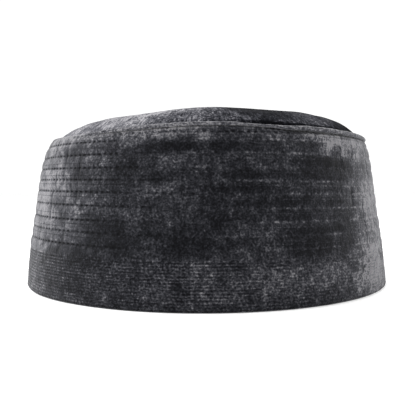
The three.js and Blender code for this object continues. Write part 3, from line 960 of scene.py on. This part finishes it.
def cotton(name, dark, light):
    """Plain woven inner cloth."""
    material = bpy.data.materials.new(name)
    material.use_nodes = True
    tree = material.node_tree
    tree.nodes.clear()
    link = tree.links.new
    out = node(tree, "ShaderNodeOutputMaterial", 1000, 0)
    bsdf = node(tree, "ShaderNodeBsdfPrincipled", 700, 0)
    link(bsdf.outputs[0], out.inputs["Surface"])
    bsdf.inputs["Roughness"].default_value = 0.85
    bsdf.inputs["Specular IOR Level"].default_value = 0.2
    bsdf.inputs["Sheen Weight"].default_value = 0.15
    cloth = node(tree, "ShaderNodeAttribute", -900, 0, attribute_name="cloth")
    split = node(tree, "ShaderNodeSeparateXYZ", -700, 0)
    link(cloth.outputs["Vector"], split.inputs[0])
    waves = []
    for k, axis in enumerate(("X", "Y")):
        wave = node(tree, "ShaderNodeMath", -500, -160 * k, operation="MULTIPLY")
        wave.inputs[1].default_value = 2 * math.pi / 0.9
        link(split.outputs[axis], wave.inputs[0])
        sine = node(tree, "ShaderNodeMath", -340, -160 * k, operation="SINE")
        link(wave.outputs[0], sine.inputs[0])
        waves.append(sine.outputs[0])
    weave = node(tree, "ShaderNodeMath", -160, 0, operation="MULTIPLY")
    link(waves[0], weave.inputs[0])
    link(waves[1], weave.inputs[1])
    space = node(tree, "ShaderNodeTexCoord", -900, -400)
    slub = node(tree, "ShaderNodeTexNoise", -500, -400)
    slub.inputs["Scale"].default_value = 500
    slub.inputs["Detail"].default_value = 4
    link(space.outputs["Object"], slub.inputs["Vector"])
    mix = node(tree, "ShaderNodeMath", 0, 0, operation="MULTIPLY_ADD")
    mix.inputs[1].default_value = 0.25
    link(weave.outputs[0], mix.inputs[0])
    link(slub.outputs["Fac"], mix.inputs[2])
    ramp = node(tree, "ShaderNodeValToRGB", 200, 0)
    ramp.color_ramp.elements[0].position = 0.15
    ramp.color_ramp.elements[0].color = (*dark, 1)
    ramp.color_ramp.elements[1].position = 0.85
    ramp.color_ramp.elements[1].color = (*light, 1)
    link(mix.outputs[0], ramp.inputs["Fac"])
    link(ramp.outputs["Color"], bsdf.inputs["Base Color"])
    bump = node(tree, "ShaderNodeBump", 400, -300)
    bump.inputs["Strength"].default_value = 0.5
    bump.inputs["Distance"].default_value = 0.0002
    link(mix.outputs[0], bump.inputs["Height"])
    link(bump.outputs["Normal"], bsdf.inputs["Normal"])
    return material


def thread(name):
    material = bpy.data.materials.new(name)
    material.use_nodes = True
    tree = material.node_tree
    bsdf = tree.nodes["Principled BSDF"]
    link = tree.links.new
    bsdf.inputs["Roughness"].default_value = 0.95
    bsdf.inputs["Specular IOR Level"].default_value = 0.05
    space = node(tree, "ShaderNodeTexCoord", -700, 0)
    twist = node(tree, "ShaderNodeTexNoise", -500, 0)
    twist.inputs["Scale"].default_value = 3200
    twist.inputs["Detail"].default_value = 2
    link(space.outputs["Object"], twist.inputs["Vector"])
    ramp = node(tree, "ShaderNodeValToRGB", -300, 0)
    ramp.color_ramp.elements[0].color = (0.0012, 0.0012, 0.0015, 1)
    ramp.color_ramp.elements[1].color = (0.006, 0.006, 0.007, 1)
    link(twist.outputs["Fac"], ramp.inputs["Fac"])
    link(ramp.outputs["Color"], bsdf.inputs["Base Color"])
    bump = node(tree, "ShaderNodeBump", -200, -300)
    bump.inputs["Distance"].default_value = 0.0001
    link(twist.outputs["Fac"], bump.inputs["Height"])
    link(bump.outputs["Normal"], bsdf.inputs["Normal"])
    return material


def wear(obj, material):
    obj.data.materials.clear()
    obj.data.materials.append(material)
    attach(obj, "root")


# ---- build ---------------------------------------------------------------------------------------
settle_grid = settle_crown()
band_velvet = make_band()
band_inside = make_band_inside()
edge_velvet = make_welt()
crown_velvet = make_crown(settle_grid)
crown_inside = make_crown_inside(settle_grid)
band_stitches, hem_stitches, rim_stitches = make_stitches()

wear(band_velvet, velvet("velvet_band", 0.0016, 0.17))
wear(edge_velvet, velvet("velvet_edge", 0.0020, 0.19))
# the crown's lighter top end carries the painted light of its left half
wear(crown_velvet, velvet("velvet_crown", 0.0020, 0.30, grain=1.15, sheen=0.04, specular=0.0))
lining = cotton("inner_cotton", grey(0.010), grey(0.030))
wear(band_inside, lining)
wear(crown_inside, lining)
black = thread("black_thread")
for piece in (band_stitches, hem_stitches, rim_stitches):
    wear(piece, black)
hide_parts("side_band")
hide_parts("edge_welt")
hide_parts("crown_top")

# ---- stage, lights and camera --------------------------------------------------------------------
scene = bpy.context.scene
scene.view_settings.view_transform = "Standard"
scene.view_settings.look = "None"
scene.view_settings.exposure = 0.0
scene.view_settings.gamma = 1.0

floor_mesh = bpy.data.meshes.new("floor")
floor_mesh.from_pydata([(-4, -4, 0), (4, -4, 0), (4, 4, 0), (-4, 4, 0)], [], [(0, 1, 2, 3)])
floor = bpy.data.objects.new("floor", floor_mesh)
scene.collection.objects.link(floor)
paper = bpy.data.materials.new("white_paper")
paper.use_nodes = True
paper.node_tree.nodes["Principled BSDF"].inputs["Base Color"].default_value = (0.93, 0.93, 0.93, 1)
paper.node_tree.nodes["Principled BSDF"].inputs["Roughness"].default_value = 0.9
paper.node_tree.nodes["Principled BSDF"].inputs["Emission Color"].default_value = (1, 1, 1, 1)
paper.node_tree.nodes["Principled BSDF"].inputs["Emission Strength"].default_value = 0.25
floor_mesh.materials.append(paper)

world = bpy.data.worlds.new("studio")
scene.world = world
world.use_nodes = True
tree = world.node_tree
tree.nodes.clear()
# white behind the object, and a softer fill from the same walls
sky = tree.nodes.new("ShaderNodeBackground")
sky.inputs["Color"].default_value = (1, 1, 1, 1)
sky.inputs["Strength"].default_value = 0.8
backdrop = tree.nodes.new("ShaderNodeBackground")
backdrop.inputs["Color"].default_value = (1, 1, 1, 1)
backdrop.inputs["Strength"].default_value = 1.1
rays = tree.nodes.new("ShaderNodeLightPath")
both = tree.nodes.new("ShaderNodeMixShader")
tree.links.new(rays.outputs["Is Camera Ray"], both.inputs[0])
tree.links.new(sky.outputs[0], both.inputs[1])
tree.links.new(backdrop.outputs[0], both.inputs[2])
tree.links.new(both.outputs[0], tree.nodes.new("ShaderNodeOutputWorld").inputs["Surface"])


def area_light(name, place, aim, size, power):
    data = bpy.data.lights.new(name, "AREA")
    data.shape = "RECTANGLE"
    data.size, data.size_y = size
    data.energy = power
    obj = bpy.data.objects.new(name, data)
    scene.collection.objects.link(obj)
    direction = np.array(aim, float) - np.array(place, float)
    direction /= np.linalg.norm(direction)
    z = -direction
    up = np.array([0.0, 0.0, 1.0]) if abs(z[2]) < 0.98 else np.array([0.0, 1.0, 0.0])
    x = np.cross(up, z)
    x /= np.linalg.norm(x)
    y = np.cross(z, x)
    obj.matrix_world = Matrix(((x[0], y[0], z[0], place[0]), (x[1], y[1], z[1], place[1]),
                               (x[2], y[2], z[2], place[2]), (0, 0, 0, 1)))
    return obj


area_light("left_softbox", (-0.75, -0.10, 0.42), (0, 0, 0.04), (0.6, 0.6), 7.5)
area_light("right_softbox", (0.80, 0.10, 0.30), (0, 0, 0.04), (0.5, 0.6), 3.6)
area_light("top_softbox", (-0.10, 0.25, 0.90), (0, 0, 0.05), (0.9, 0.7), 5.0)

FOCAL, PITCH, ROLL = 675.17, 1.998, -0.25  # pixels across a frame of 416, degrees down, degrees
camera_data = bpy.data.cameras.new("camera")
camera_data.sensor_width = 36.0
camera_data.sensor_fit = "HORIZONTAL"
camera_data.lens = 36.0 * FOCAL / 416.0
camera_data.clip_start = 0.01
camera_data.clip_end = 50.0
camera = bpy.data.objects.new("camera", camera_data)
scene.collection.objects.link(camera)
camera.matrix_world = (Matrix.Translation((0.000776, -0.341747, 0.046676))
                       @ Matrix.Rotation(math.radians(90.0 - PITCH), 4, "X")
                       @ Matrix.Rotation(math.radians(ROLL), 4, "Z"))
scene.camera = camera

bpy.context.view_layer.update()
